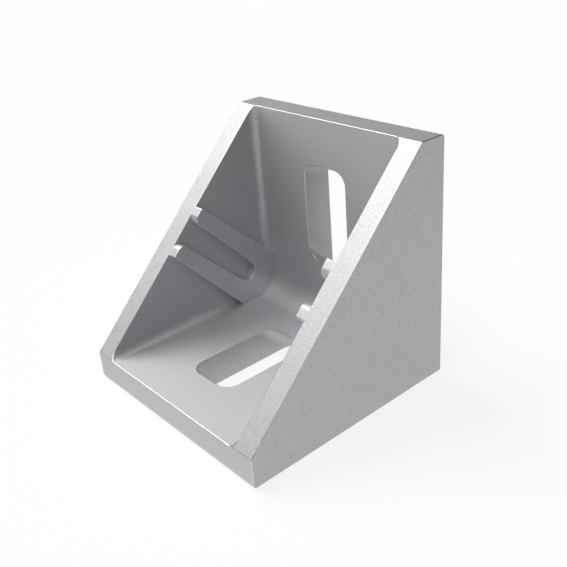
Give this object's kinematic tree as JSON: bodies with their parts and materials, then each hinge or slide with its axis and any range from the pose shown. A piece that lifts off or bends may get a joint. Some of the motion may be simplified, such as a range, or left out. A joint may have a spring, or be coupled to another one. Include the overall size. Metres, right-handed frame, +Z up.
{
  "type": "t slot corner bracket",
  "caption": "Cast corner bracket for slotted framing profile, with square slotted legs, side walls sloped at 45 degrees and grooved pads for a clip-on cover.",
  "frame": {"origin": "middle of the bracket's box at the underside of the base leg", "axes": "+X across the two side walls, +Y from the open sloped front towards the upright leg, +Z up along the upright leg"},
  "size_m": [0.043, 0.042, 0.042],
  "materials": {
    "cast_aluminium": "satin, fine blasted grain"
  },
  "bodies": {
    "root": {"bracket": "cast_aluminium"}
  },
  "joints": []
}
